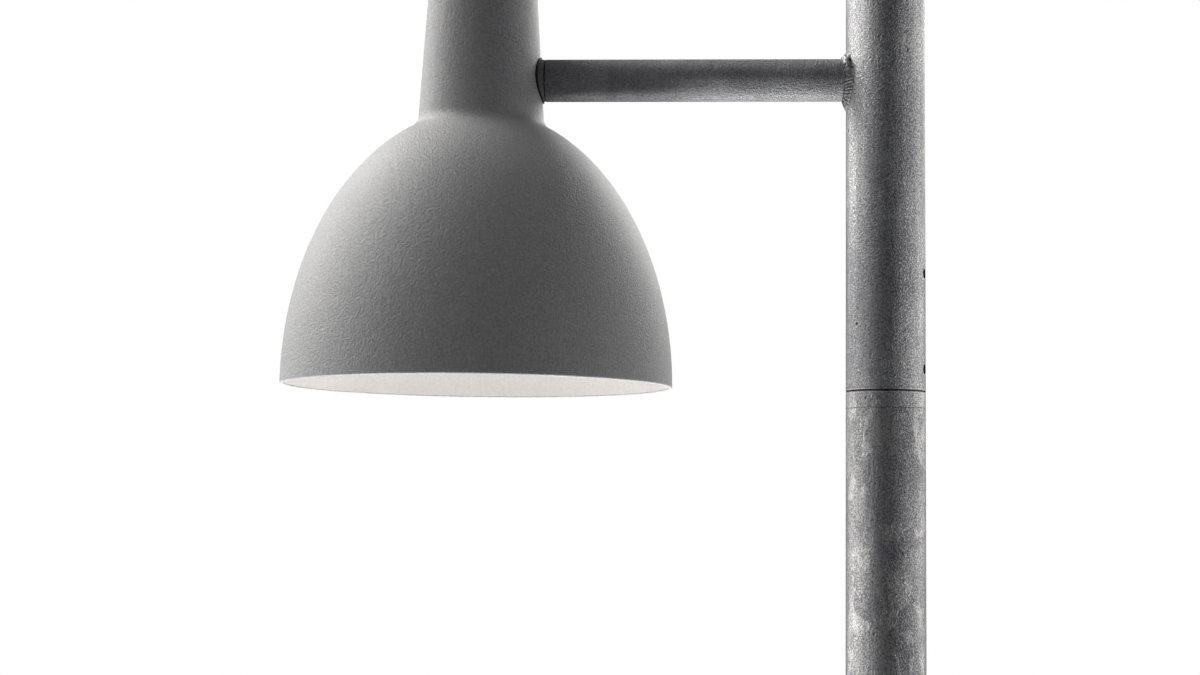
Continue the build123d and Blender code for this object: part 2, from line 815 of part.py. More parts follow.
def make_socket_contact():
    # Bent tongue at the bottom of the socket.
    top = mouth_level + socket_depth - touch
    tongue = block((-9, 4), (-3, 3), (top - 0.6, top)) + rod(2.5, top - 1.6, top)
    return place_lamp(tongue)


# ---- Bulb ----------------------------------------------------------------------------------------
cap_low = mouth_level - 0.5
cap_high = cap_low + cap_length
contact_top = mouth_level + socket_depth - 2.0


def make_bulb_cap():
    outline = [(0, cap_low), (cap_radius, cap_low), (cap_radius, cap_high - 3),
               (cap_radius - 4, cap_high), (0, cap_high)]
    return place_lamp(lathe(outline) - rod(cap_radius - 0.8, cap_low - 1, cap_high - 4))


def make_bulb_contact():
    low = cap_high + touch
    high = contact_top
    outline = [(0, low), (8.0, low), (4.8, high - 1.5), (4.8, high), (0, high)]
    return place_lamp(lathe(outline))


def make_bulb_housing():
    # Moulded cone between the screw cap and the globe.
    low = mouth_level - bulb_length + globe_height
    high = cap_low - touch
    wall = housing_wall
    outer = [(cap_radius + 1.2, high), (cap_radius + 1.2, high - 5), (bulb_radius - 2, low + 10),
             (bulb_radius, low)]
    inner = [(bulb_radius - wall, low), (bulb_radius - 2 - wall, low + 10), (cap_radius - 1, high - 5),
             (cap_radius - 1, high)]
    return place_lamp(lathe(outer + inner))


def make_bulb_board():
    low = mouth_level - bulb_length + globe_height
    return place_lamp(rod(bulb_radius - 2.6, low + 1, low + 1 + board_thickness))


def make_bulb_globe():
    # Opal half globe, a half ellipse in section.
    low = mouth_level - bulb_length + globe_height - touch
    shells = []
    for shrink in (0.0, globe_wall):
        width = bulb_radius - shrink
        height = globe_height - shrink
        arc = EllipticalCenterArc((0, 0), width, height, start_angle=0, arc_size=-90)
        sides = Polyline((width, 0), (0, 0), (0, -height))
        shells.append(revolve(make_face(Plane.XZ * (arc + sides)), axis=Axis.Z))
    return place_lamp(Pos(0, 0, low) * (shells[0] - shells[1]))


# ---- Every piece ---------------------------------------------------------------------------------
pieces = {
    "base_plate": make_base_plate(),
    "base_weld": make_base_weld(),
    "lower_post": make_lower_post(),
    "spigot": make_spigot(),
    "door_lugs": make_door_lugs(),
    "mounting_bar": make_mounting_bar(),
    "fuse_box_body": make_fuse_box_body(),
    "fuse_box_cover": make_fuse_box_cover(),
    "box_screws": make_box_screws(),
    "cover_screw": make_cover_screw(),
    "cable_glands": make_cable_glands(),
    "terminal_block": make_terminal_block(),
    "terminal_inserts": make_terminal_inserts(),
    "terminal_screws": make_terminal_screws(),
    "fuse_holder": make_fuse_holder(),
    "fuse_clips": make_fuse_clips(),
    "fuse_body": make_fuse_body(),
    "fuse_caps": make_fuse_caps(),
    "earth_stud": make_earth_stud(),
    "earth_washer": make_earth_washer(),
    "earth_nut": make_earth_nut(),
    "post_cable": make_post_cable(),
    "service_door": make_service_door(),
    "door_screw_lower": make_door_screw(door_screw_levels()[0]),
    "door_screw_upper": make_door_screw(door_screw_levels()[1]),
    "head_tube": make_head_tube(),
    "post_cap": make_post_cap(),
    "set_screw_lower": make_set_screw(set_screw_heights[0]),
    "set_screw_upper": make_set_screw(set_screw_heights[1]),
    "arm_tube": make_arm_tube(),
    "arm_weld": make_arm_weld(),
    "arm_plug": make_arm_plug(),
    "nipple": make_nipple(),
    "nipple_washer": make_nipple_washer(),
    "lock_nut": make_lock_nut(),
    "arm_seal": make_arm_seal(),
    "head_cable": make_head_cable(),
    "shade": make_shade(),
    "neck_gasket": make_neck_gasket(),
    "saddle_adaptor": make_saddle_adaptor(),
    "holder_plate": make_holder_plate(),
    "plate_screws": make_plate_screws(),
    "plate_grommet": make_plate_grommet(),
    "holder_screws": make_holder_screws(),
    "lamp_holder": make_lamp_holder(),
    "socket_shell": make_socket_shell(),
    "socket_contact": make_socket_contact(),
    "lamp_cable": make_lamp_cable(),
    "bulb_cap": make_bulb_cap(),
    "bulb_contact": make_bulb_contact(),
    "bulb_housing": make_bulb_housing(),
    "bulb_board": make_bulb_board(),
    "bulb_globe": make_bulb_globe(),
}

os.makedirs("parts", exist_ok=True)
for name, shape in pieces.items():
    export_step(shape, f"parts/{name}.step")
print("wrote", len(pieces), "pieces")
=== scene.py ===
import math
import bpy
import bmesh
import numpy as np
from mathutils import Matrix, Vector


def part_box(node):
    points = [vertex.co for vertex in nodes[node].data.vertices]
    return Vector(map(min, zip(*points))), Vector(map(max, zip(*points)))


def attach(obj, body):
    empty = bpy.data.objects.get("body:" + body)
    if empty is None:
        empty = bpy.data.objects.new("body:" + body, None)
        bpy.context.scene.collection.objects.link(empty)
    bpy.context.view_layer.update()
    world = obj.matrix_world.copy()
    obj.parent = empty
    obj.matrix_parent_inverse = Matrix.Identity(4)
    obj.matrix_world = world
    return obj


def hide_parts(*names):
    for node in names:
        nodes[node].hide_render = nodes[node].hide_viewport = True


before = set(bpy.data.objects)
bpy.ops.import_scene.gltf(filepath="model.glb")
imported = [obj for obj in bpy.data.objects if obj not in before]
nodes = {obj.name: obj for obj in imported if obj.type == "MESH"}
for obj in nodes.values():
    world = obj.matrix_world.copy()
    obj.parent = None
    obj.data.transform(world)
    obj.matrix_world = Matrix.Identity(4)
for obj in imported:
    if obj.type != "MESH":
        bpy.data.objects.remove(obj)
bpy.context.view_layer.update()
print("frame loaded,", len(nodes), "nodes")

# main lines of the lamp, read from the frame (metres)
shadeLow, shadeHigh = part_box("shade")
rimLevel = shadeLow.z
rimRadius = (shadeHigh.x - shadeLow.x) / 2
shadeX = (shadeHigh.x + shadeLow.x) / 2
armLow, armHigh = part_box("arm_tube")
armLevel = (armLow.z + armHigh.z) / 2
armRadius = (armHigh.y - armLow.y) / 2
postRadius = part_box("lower_post")[1].x
seamLevel = (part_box("lower_post")[1].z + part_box("head_tube")[0].z) / 2


# camera
cameraSettings = {
    "right": 0.1863,    # beside the shade's axis
    "back": 1.5517,     # in front of the lamp
    "below": 0.0941,    # under the rim
    "turn": -3.393,     # degrees, to the left
    "tilt": 4.879,      # degrees, upwards
    "roll": 0.627,
    "lens": 61.0,
}


def aimedMatrix(place, turn, tilt, roll):
    # looking direction from turn and tilt, then both side vectors rolled about it
    a, b, c = math.radians(turn), math.radians(tilt), math.radians(roll)
    ahead = Vector((math.sin(a) * math.cos(b), math.cos(a) * math.cos(b), math.sin(b)))
    side = Vector((math.cos(a), -math.sin(a), 0))
    up = side.cross(ahead)
    sideRolled = math.cos(c) * side + math.sin(c) * up
    upRolled = -math.sin(c) * side + math.cos(c) * up
    turned = Matrix((sideRolled, upRolled, -ahead)).transposed().to_4x4()
    return Matrix.Translation(place) @ turned


def addCamera(settings):
    data = bpy.data.cameras.new("lampCamera")
    data.sensor_width = 36
    data.lens = settings["lens"]
    data.clip_end = 100
    camera = bpy.data.objects.new("lampCamera", data)
    bpy.context.scene.collection.objects.link(camera)
    place = Vector((shadeX + settings["right"], -settings["back"], rimLevel - settings["below"]))
    camera.matrix_world = aimedMatrix(place, settings["turn"], settings["tilt"], settings["roll"])
    bpy.context.scene.camera = camera
    return camera


addCamera(cameraSettings)
bpy.context.scene.view_settings.view_transform = "Standard"
print("camera set")


# studio
# each soft light is a lobe of the sky: degrees round from the front towards the left, degrees up, half angle
# where it ends, half angle where it is full, strength
studioLights = {
    "keyHigh": (122, 45, 17, 8, 10.0),
    "keyLow": (120, 20, 18, 8, 3.5),
    "keyBack": (140, 30, 18, 8, 1.7),
    "keyTop": (140, 60, 18, 8, 0.9),
    "leftWall": (90, 0, 35, 8, 1.4),
    "leftFront": (58, 0, 28, 8, 0.35),
    "leftBack": (120, 0, 35, 8, 1.0),
    "leftUpper": (88, 45, 35, 8, 1.9),
    "leftFloor": (90, -45, 30, 8, 0.6),
    "rightRim": (202, 22, 16, 8, 5.0),
    "rightRimHigh": (215, 35, 18, 8, 3.0),
    "rightBack": (240, 5, 35, 8, 1.9),
    "rightFront": (300, 0, 30, 8, 0.95),
    "rightWall": (270, 0, 35, 8, 0.2),
    "underneath": (180, -48, 24, 8, 7.0),
}


skyTint = {"dim": (0.97, 0.96, 1.14, 1), "bright": (1.0, 0.99, 0.975, 1)}


def lightDirection(around, up):
    a, e = math.radians(around), math.radians(up)
    return Vector((-math.sin(a) * math.cos(e), -math.cos(a) * math.cos(e), math.sin(e)))


def buildSky(lights, tints):
    # sky colour = sum over lights of strength times a smooth step of the cosine to the light's direction
    world = bpy.data.worlds.new("studioSky")
    bpy.context.scene.world = world
    world.use_nodes = True
    tree = world.node_tree
    tree.nodes.clear()
    place = tree.nodes.new("ShaderNodeTexCoord")
    total = None
    for name, (around, up, edge, full, strength) in lights.items():
        along = tree.nodes.new("ShaderNodeVectorMath")
        along.operation = "DOT_PRODUCT"
        along.label = name
        along.inputs[1].default_value = lightDirection(around, up)
        tree.links.new(place.outputs["Generated"], along.inputs[0])
        lobe = tree.nodes.new("ShaderNodeMapRange")
        lobe.name = name
        lobe.interpolation_type = "SMOOTHSTEP"
        lobe.inputs["From Min"].default_value = math.cos(math.radians(edge))
        lobe.inputs["From Max"].default_value = math.cos(math.radians(full))
        lobe.inputs["To Max"].default_value = strength
        tree.links.new(along.outputs["Value"], lobe.inputs["Value"])
        if total is None:
            total = lobe.outputs["Result"]
            continue
        plus = tree.nodes.new("ShaderNodeMath")
        plus.operation = "ADD"
        tree.links.new(total, plus.inputs[0])
        tree.links.new(lobe.outputs["Result"], plus.inputs[1])
        total = plus.outputs[0]
    # dim parts of the sky are a little blue, bright parts a little warm
    tint = tree.nodes.new("ShaderNodeMix")
    tint.data_type = "RGBA"
    tint.inputs[6].default_value = tints["dim"]
    tint.inputs[7].default_value = tints["bright"]
    tree.links.new(total, tint.inputs[0])
    sky = tree.nodes.new("ShaderNodeBackground")
    tree.links.new(tint.outputs[2], sky.inputs["Color"])
    tree.links.new(total, sky.inputs["Strength"])
    plain = tree.nodes.new("ShaderNodeBackground")
    plain.inputs["Color"].default_value = (1, 1, 1, 1)
    seen = tree.nodes.new("ShaderNodeLightPath")
    mix = tree.nodes.new("ShaderNodeMixShader")
    out = tree.nodes.new("ShaderNodeOutputWorld")
    tree.links.new(seen.outputs["Is Camera Ray"], mix.inputs[0])
    tree.links.new(sky.outputs[0], mix.inputs[1])
    tree.links.new(plain.outputs[0], mix.inputs[2])
    tree.links.new(mix.outputs[0], out.inputs["Surface"])


buildSky(studioLights, skyTint)


# mesh tools
def gridPiece(name, points, materials, body, closeAcross=False, closeAlong=False, faceSlots=None, sharp=None,
              marks=None):
    # points is rows x columns x 3; each quad joins neighbours (i, j), (i, j+1), (i+1, j+1), (i+1, j)
    rows, columns = points.shape[:2]
    lastRow = rows if closeAlong else rows - 1
    lastColumn = columns if closeAcross else columns - 1
    i, j = np.meshgrid(np.arange(lastRow), np.arange(lastColumn), indexing="ij")
    iNext, jNext = (i + 1) % rows, (j + 1) % columns
    quads = np.stack((i * columns + j, i * columns + jNext, iNext * columns + jNext, iNext * columns + j), -1)
    mesh = bpy.data.meshes.new(name)
    mesh.from_pydata(points.reshape(-1, 3).tolist(), [], quads.reshape(-1, 4).tolist())
    if faceSlots is not None:
        slotsByFace = np.broadcast_to(faceSlots[:lastRow, None], (lastRow, lastColumn)).reshape(-1)
        mesh.polygons.foreach_set("material_index", np.ascontiguousarray(slotsByFace, dtype=np.int32))
    for material in materials:
        mesh.materials.append(material)
    for mark, values in (marks or {}).items():
        layer = mesh.attributes.new(mark, "FLOAT", "POINT")
        layer.data.foreach_set("value", np.ascontiguousarray(values.reshape(-1), dtype=np.float32))
    shape = bmesh.new()
    shape.from_mesh(mesh)
    bmesh.ops.remove_doubles(shape, verts=shape.verts, dist=1e-6)
    bmesh.ops.recalc_face_normals(shape, faces=shape.faces)
    shape.to_mesh(mesh)
    shape.free()
    mesh.polygons.foreach_set("use_smooth", np.ones(len(mesh.polygons), dtype=bool))
    if sharp is not None:
        mesh.set_sharp_from_angle(angle=math.radians(sharp))
    piece = bpy.data.objects.new(name, mesh)
    bpy.context.scene.collection.objects.link(piece)
    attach(piece, body)
    return piece


def arcPoints(centre, radiusX, radiusZ, start, end, count):
    # points of an ellipse's arc: centre + (radiusX cos t, radiusZ sin t)
    t = np.radians(np.linspace(start, end, count))
    return np.stack((centre[0] + radiusX * np.cos(t), centre[1] + radiusZ * np.sin(t)), -1)


def lathePoints(profile, centreX, baseZ, turns):
    # each profile point (radius, height) goes round the upright axis at centreX
    angle = np.linspace(0, 2 * np.pi, turns, endpoint=False)
    radius, height = profile[:, 0][:, None], profile[:, 1][:, None]
    x = centreX + radius * np.cos(angle)
    y = radius * np.sin(angle)
    z = baseZ + height + 0 * angle
    return np.stack((x, y, z), -1)


# node groups
def newGroup(name, inputs, outputs):
    group = bpy.data.node_groups.new(name, "ShaderNodeTree")
    for label, kind, value in inputs:
        socket = group.interface.new_socket(name=label, in_out="INPUT", socket_type=kind)
        socket.default_value = value
    for label, kind in outputs:
        group.interface.new_socket(name=label, in_out="OUTPUT", socket_type=kind)
    return group, group.nodes.new("NodeGroupInput"), group.nodes.new("NodeGroupOutput")


def put(tree, kind, links=None, **settings):
    # adds a node; links maps an input's name or number to an output socket or a fixed value
    node = tree.nodes.new("ShaderNode" + kind)
    for key, value in settings.items():
        setattr(node, key, value)
    for key, source in (links or {}).items():
        if isinstance(source, bpy.types.NodeSocket):
            tree.links.new(source, node.inputs[key])
        else:
            node.inputs[key].default_value = source
    return node


def mathNode(tree, operation, a, b=0.0, clamp=False):
    return put(tree, "Math", {0: a, 1: b}, operation=operation, use_clamp=clamp).outputs[0]


def remap(tree, value, low, high, toLow=0.0, toHigh=1.0, smooth=True):
    kind = "SMOOTHSTEP" if smooth else "LINEAR"
    links = {"Value": value, "From Min": low, "From Max": high, "To Min": toLow, "To Max": toHigh}
    return put(tree, "MapRange", links, interpolation_type=kind).outputs["Result"]


def noiseAt(tree, vector, scale, detail=3.0, rough=0.55, lacunarity=2.0):
    links = {"Vector": vector, "Scale": scale, "Detail": detail, "Roughness": rough, "Lacunarity": lacunarity}
    return put(tree, "TexNoise", links).outputs["Fac"]


def stretched(tree, vector, x, y, z):
    return put(tree, "VectorMath", {0: vector, 1: (x, y, z)}, operation="MULTIPLY").outputs["Vector"]


def zincSkinGroup():
    # tone = half + weighted clouds, upright runs, crystal flowers and fine grain; height adds the same parts
    group, start, end = newGroup(
        "zincSkin",
        [("Vector", "NodeSocketVector", (0, 0, 0)), ("Clouds", "NodeSocketFloat", 0.3),
         ("Runs", "NodeSocketFloat", 0.3), ("Flowers", "NodeSocketFloat", 0.3),
         ("Grain", "NodeSocketFloat", 0.3), ("Pitting", "NodeSocketFloat", 0.5)],
        [("Tone", "NodeSocketFloat"), ("Height", "NodeSocketFloat"), ("Pits", "NodeSocketFloat")])
    here = start.outputs["Vector"]
    clouds = put(group, "TexNoise", {
        "Vector": stretched(group, here, 1.0, 1.0, 0.6), "Scale": 30.0, "Detail": 4.0,
        "Roughness": 0.55, "Distortion": 0.6}).outputs["Fac"]
    clouds = remap(group, clouds, 0.3, 0.7)
    runs = remap(group, noiseAt(group, stretched(group, here, 1.0, 1.0, 0.07), 130.0, 3.0, 0.6), 0.3, 0.7)
    grain = remap(group, noiseAt(group, here, 850.0, 2.0, 0.6), 0.3, 0.7)
    specks = remap(group, noiseAt(group, here, 620.0, 1.0, 0.5), 0.37, 0.27)
    # flowers: ridges of a strongly distorted noise, kept to patches some centimetres long
    petals = put(group, "TexNoise", {"Vector": here, "Scale": 110.0, "Detail": 3.0, "Roughness": 0.65,
                                     "Distortion": 2.2}).outputs["Fac"]
    ridge = remap(group, mathNode(group, "ABSOLUTE", mathNode(group, "SUBTRACT", petals, 0.5)), 0.11, 0.0)
    patchNoise = put(group, "TexNoise", {
        "Vector": stretched(group, here, 1.0, 1.0, 0.55), "Scale": 48.0, "Detail": 4.0,
        "Roughness": 0.6, "Distortion": 0.8}).outputs["Fac"]
    patches = remap(group, patchNoise, 0.53, 0.59)
    petalTone = mathNode(group, "ADD", mathNode(group, "MULTIPLY", ridge, 0.6), 0.5)
    flowers = mathNode(group, "MULTIPLY", petalTone, patches)
    total = mathNode(group, "SUBTRACT", 0.53, mathNode(group, "MULTIPLY", specks, start.outputs["Grain"]))
    for value, middle, weight in ((clouds, 0.5, "Clouds"), (runs, 0.5, "Runs"), (flowers, 0.25, "Flowers"),
                                  (grain, 0.5, "Grain")):
        part = mathNode(group, "MULTIPLY", mathNode(group, "SUBTRACT", value, middle), start.outputs[weight])
        total = mathNode(group, "ADD", part, total)
    group.links.new(total, end.inputs["Tone"])
    # pits: a few cells of a voronoi hold one dark dot each, mostly where a slow noise is high
    dots = put(group, "TexVoronoi", {"Vector": stretched(group, here, 1.0, 1.0, 0.6), "Scale": 120.0})
    near = remap(group, dots.outputs["Distance"], 0.15, 0.08)
    chosen = put(group, "SeparateColor", {0: dots.outputs["Color"]}).outputs[1]
    crowd = remap(group, noiseAt(group, here, 16.0, 1.0), 0.42, 0.62, 0.95, 0.62)
    picked = mathNode(group, "GREATER_THAN", chosen, crowd)
    pits = mathNode(group, "MULTIPLY", mathNode(group, "MULTIPLY", near, picked), start.outputs["Pitting"])
    group.links.new(pits, end.inputs["Pits"])
    lumps = mathNode(group, "ADD", mathNode(group, "MULTIPLY", runs, 0.6),
                     mathNode(group, "MULTIPLY", flowers, 0.5))
    height = mathNode(group, "ADD", grain, lumps)
    sunk = mathNode(group, "MULTIPLY", pits, 2.0)
    group.links.new(mathNode(group, "SUBTRACT", height, sunk), end.inputs["Height"])
    return group


def ringStainGroup():
    # mask = one minus a smooth step of the distance to a level, the level moved by a noise round the tube
    group, start, end = newGroup(
        "ringStain",
        [("Vector", "NodeSocketVector", (0, 0, 0)), ("Level", "NodeSocketFloat", 0.0),
         ("Width", "NodeSocketFloat", 0.0005), ("Waver", "NodeSocketFloat", 0.0)],
        [("Mask", "NodeSocketFloat")])
    here = start.outputs["Vector"]
    flat = stretched(group, here, 1.0, 1.0, 0.0)
    wave = mathNode(group, "SUBTRACT", noiseAt(group, flat, 55.0, 4.0, 0.6), 0.5)
    moved = mathNode(group, "MULTIPLY", wave, start.outputs["Waver"])
    level = mathNode(group, "ADD", moved, start.outputs["Level"])
    height = put(group, "SeparateXYZ", {0: here}).outputs["Z"]
    gap = mathNode(group, "ABSOLUTE", mathNode(group, "SUBTRACT", height, level))
    group.links.new(remap(group, gap, start.outputs["Width"], 0.0), end.inputs["Mask"])
    return group


def sandCoatGroup():
    # height = rounded specks about a millimetre across plus a slow orange-peel wave
    group, start, end = newGroup(
        "sandCoat",
        [("Vector", "NodeSocketVector", (0, 0, 0)), ("Speck", "NodeSocketFloat", 900.0)],
        [("Tone", "NodeSocketFloat"), ("Height", "NodeSocketFloat")])
    here = start.outputs["Vector"]
    specks = noiseAt(group, here, start.outputs["Speck"], 2.0, 0.65)
    peel = noiseAt(group, here, 160.0, 2.0, 0.5)
    broad = noiseAt(group, here, 14.0, 3.0, 0.5)
    wavy = mathNode(group, "MULTIPLY", peel, 0.35)
    group.links.new(mathNode(group, "ADD", specks, wavy), end.inputs["Height"])
    tone = mathNode(group, "ADD", mathNode(group, "MULTIPLY", remap(group, specks, 0.3, 0.7), 0.7),
                    mathNode(group, "MULTIPLY", broad, 0.3))
    group.links.new(tone, end.inputs["Tone"])
    return group


def settledDustGroup():
    # mask = upward-facing share of the surface times a patchy noise
    group, start, end = newGroup(
        "settledDust",
        [("Vector", "NodeSocketVector", (0, 0, 0)), ("Amount", "NodeSocketFloat", 0.3)],
        [("Mask", "NodeSocketFloat")])
    normal = put(group, "NewGeometry").outputs["Normal"]
    facing = put(group, "SeparateXYZ", {0: normal}).outputs["Z"]
    upward = remap(group, facing, 0.2, 1.0)
    patches = remap(group, noiseAt(group, start.outputs["Vector"], 45.0, 4.0, 0.6), 0.35, 0.7)
    both = mathNode(group, "MULTIPLY", upward, patches)
    amount = mathNode(group, "MULTIPLY", both, start.outputs["Amount"], clamp=True)
    group.links.new(amount, end.inputs["Mask"])
    return group


def fineScratchesGroup():
    # mask = thin lines where a stretched noise crosses its middle value
    group, start, end = newGroup(
        "fineScratches",
        [("Vector", "NodeSocketVector", (0, 0, 0)), ("Width", "NodeSocketFloat", 0.01)],
        [("Mask", "NodeSocketFloat")])
    wave = noiseAt(group, start.outputs["Vector"], 35.0, 2.0, 0.4)
    off = put(group, "Math", {0: mathNode(group, "SUBTRACT", wave, 0.5)}, operation="ABSOLUTE").outputs[0]
    line = put(group, "MapRange", {"Value": off, "From Min": start.outputs["Width"], "From Max": 0.0})
    where = remap(group, noiseAt(group, start.outputs["Vector"], 9.0, 1.0), 0.5, 0.6)
    group.links.new(mathNode(group, "MULTIPLY", line.outputs["Result"], where), end.inputs["Mask"])
    return group


def drilledBoreGroup():
    # mask = one inside a cylinder round the axis through the middle, only on the axis's own side of the tube
    group, start, end = newGroup(
        "drilledBore",
        [("Vector", "NodeSocketVector", (0, 0, 0)), ("Middle", "NodeSocketVector", (0, 0, 0)),
         ("Axis", "NodeSocketVector", (1, 0, 0)), ("Radius", "NodeSocketFloat", 0.003)],
        [("Mask", "NodeSocketFloat")])
    offset = put(group, "VectorMath", {0: start.outputs["Vector"], 1: start.outputs["Middle"]},
                 operation="SUBTRACT").outputs["Vector"]
    along = put(group, "VectorMath", {0: offset, 1: start.outputs["Axis"]},
                operation="DOT_PRODUCT").outputs["Value"]
    reach = put(group, "VectorMath", {0: offset}, operation="LENGTH").outputs["Value"]
    square = mathNode(group, "SUBTRACT", mathNode(group, "MULTIPLY", reach, reach),
                      mathNode(group, "MULTIPLY", along, along))
    away = mathNode(group, "SQRT", mathNode(group, "MAXIMUM", square, 0.0))
    radius = start.outputs["Radius"]
    near = remap(group, away, mathNode(group, "ADD", radius, 0.0004), radius)
    outward = put(group, "VectorMath", {0: start.outputs["Vector"], 1: start.outputs["Axis"]},
                  operation="DOT_PRODUCT").outputs["Value"]
    group.links.new(mathNode(group, "MULTIPLY", near, mathNode(group, "GREATER_THAN", outward, 0.0)),
                    end.inputs["Mask"])
    return group


zincSkin = zincSkinGroup()
drilledBore = drilledBoreGroup()
ringStain = ringStainGroup()
sandCoat = sandCoatGroup()
settledDust = settledDustGroup()
fineScratches = fineScratchesGroup()
print("node groups built")


# materials
def startMaterial(name, metallic=0.0, specular=0.5):
    material = bpy.data.materials.new(name)
    material.use_nodes = True
    tree = material.node_tree
    tree.nodes.clear()
    shader = put(tree, "BsdfPrincipled", {"Metallic": metallic, "Specular IOR Level": specular})
    put(tree, "OutputMaterial", {"Surface": shader.outputs[0]})
    place = put(tree, "TexCoord").outputs["Object"]
    return material, tree, shader, place


def groupNode(tree, group, **links):
    node = tree.nodes.new("ShaderNodeGroup")
    node.node_tree = group
    for key, source in links.items():
        if isinstance(source, bpy.types.NodeSocket):
            tree.links.new(source, node.inputs[key])
        else:
            node.inputs[key].default_value = source
    return node


def mixColours(tree, factor, a, b):
    node = put(tree, "Mix", data_type="RGBA")
    for socket, source in ((node.inputs[0], factor), (node.inputs[6], a), (node.inputs[7], b)):
        if isinstance(source, bpy.types.NodeSocket):
            tree.links.new(source, socket)
        else:
            socket.default_value = source
    return node.outputs[2]


def addBump(tree, shader, height, depth, strength=1.0):
    bump = put(tree, "Bump", {"Height": height, "Distance": depth, "Strength": strength})
    tree.links.new(bump.outputs["Normal"], shader.inputs["Normal"])


def zincMaterial(name, look):
    material, tree, shader, place = startMaterial(name, metallic=look["metallic"], specular=0.3)
    shader.inputs["Specular Tint"].default_value = (0.45, 0.45, 0.45, 1)
    skin = groupNode(tree, zincSkin, Vector=place, Clouds=look["clouds"], Runs=look["runs"],
                     Flowers=look["flowers"], Grain=look["grain"], Pitting=look["pits"])
    tone = remap(tree, skin.outputs["Tone"], 0.0, 1.0, smooth=False)
    colour = mixColours(tree, tone, (*look["dark"], 1), (*look["light"], 1))
    burnt = (*(0.15 * v for v in look["dark"]), 1)
    for level, width, waver, strength, shade in look["jointRings"]:
        ring = groupNode(tree, ringStain, Vector=place, Level=level, Width=width, Waver=waver)
        paint = burnt if shade == "dark" else (0.8, 0.8, 0.79, 1)
        colour = mixColours(tree, mathNode(tree, "MULTIPLY", ring.outputs["Mask"], strength), colour, paint)
    colour = mixColours(tree, skin.outputs["Pits"], colour, burnt)
    # painted shade: each set screw's bore and the inner part of its countersink are painted near black
    for middle, axis in look.get("bores", []):
        bore = groupNode(tree, drilledBore, Vector=place, Middle=middle, Axis=axis, Radius=boreShadeRadius)
        colour = mixColours(tree, bore.outputs["Mask"], colour, (0.008, 0.008, 0.009, 1))
    if look.get("marked"):
        # weld marks from the bead's attributes: painted highlight in near white, then scorch with painted shade in
        # near black
        bright = put(tree, "Attribute", attribute_name="bright").outputs["Fac"]
        scorchAndShade = put(tree, "Attribute", attribute_name="scorchAndShade").outputs["Fac"]
        colour = mixColours(tree, bright, colour, (0.93, 0.93, 0.92, 1))
        colour = mixColours(tree, scorchAndShade, colour, (0.015, 0.014, 0.016, 1))
    tree.links.new(colour, shader.inputs["Base Color"])
    roughness = remap(tree, tone, 0.0, 1.0, look["rough"] + 0.1, look["rough"] - 0.1, smooth=False)
    tree.links.new(roughness, shader.inputs["Roughness"])
    addBump(tree, shader, skin.outputs["Height"], look["depth"])
    return material


# the two set screws' bores: a middle and an outward axis each
# radius out to which the bores' painted shade reaches
boreShadeRadius = 0.0035
bores = []
for screwName in ("set_screw_lower", "set_screw_upper"):
    screwLow, screwHigh = (Vector(corner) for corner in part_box(screwName))
    screwMiddle = (screwLow + screwHigh) / 2
    outwardAxis = Vector((screwMiddle.x, screwMiddle.y, 0)).normalized()
    bores.append((tuple(screwMiddle), tuple(outwardAxis)))

# rings round the tube by the joint, dark lines and pale bands: level, half width, waver (metres), strength, tone
headZincLook = {
    "metallic": 0.75, "dark": (0.25, 0.25, 0.27), "light": (0.66, 0.66, 0.65), "rough": 0.35, "clouds": 0.3,
    "runs": 0.15, "flowers": 0.06, "grain": 1.0, "bores": bores, "pits": 0.9, "depth": 0.0002,
    "jointRings": [(seamLevel + 0.0024, 0.0006, 0.0004, 0.4, "dark"),
               (seamLevel + 0.0013, 0.0006, 0.0, 0.4, "light"),
               (seamLevel + 0.0004, 0.0007, 0.0, 0.85, "dark")],
}
postZincLook = {
    "metallic": 0.75, "dark": (0.25, 0.25, 0.265), "light": (0.70, 0.70, 0.685), "rough": 0.37, "clouds": 0.4,
    "runs": 0.12, "flowers": 0.55, "grain": 0.9, "pits": 0.7, "depth": 0.0002,
    "jointRings": [(seamLevel - 0.0128, 0.0006, 0.0030, 0.6, "dark"),
               (seamLevel - 0.0014, 0.0006, 0.0, 0.5, "light"),
               (seamLevel - 0.0004, 0.0007, 0.0, 0.85, "dark")],
}
armZincLook = {
    "metallic": 0.3, "dark": (0.23, 0.23, 0.25), "light": (0.42, 0.42, 0.425), "rough": 0.40, "clouds": 0.4,
    "runs": 0.1, "flowers": 0.1, "grain": 1.0, "pits": 0.6, "depth": 0.0006, "jointRings": [],
}
weldZincLook = {
    "metallic": 0.3, "dark": (0.20, 0.20, 0.205), "light": (0.62, 0.62, 0.61), "rough": 0.42, "clouds": 0.5,
    "runs": 0.1, "flowers": 0.3, "grain": 1.0, "pits": 0.9, "depth": 0.0004, "jointRings": [], "marked": True,
}
headZinc = zincMaterial("headZinc", headZincLook)
postZinc = zincMaterial("postZinc", postZincLook)
armZinc = zincMaterial("armZinc", armZincLook)
weldZinc = zincMaterial("weldZinc", weldZincLook)


coatLook = {
    "dark": (0.33, 0.33, 0.335), "light": (0.52, 0.52, 0.52), "rough": 0.5, "speck": 620.0, "depth": 0.0008,
}


def coatMaterial(name, look):
    material, tree, shader, place = startMaterial(name)
    sand = groupNode(tree, sandCoat, Vector=place, Speck=look["speck"])
    dust = groupNode(tree, settledDust, Vector=place, Amount=0.12)
    colour = mixColours(tree, sand.outputs["Tone"], (*look["dark"], 1), (*look["light"], 1))
    colour = mixColours(tree, dust.outputs["Mask"], colour, (0.42, 0.41, 0.39, 1))
    tree.links.new(colour, shader.inputs["Base Color"])
    roughness = remap(tree, sand.outputs["Tone"], 0, 1, look["rough"] + 0.08, look["rough"] - 0.06, smooth=False)
    tree.links.new(roughness, shader.inputs["Roughness"])
    addBump(tree, shader, sand.outputs["Height"], look["depth"])
    return material


shadeCoat = coatMaterial("shadeCoat", coatLook)

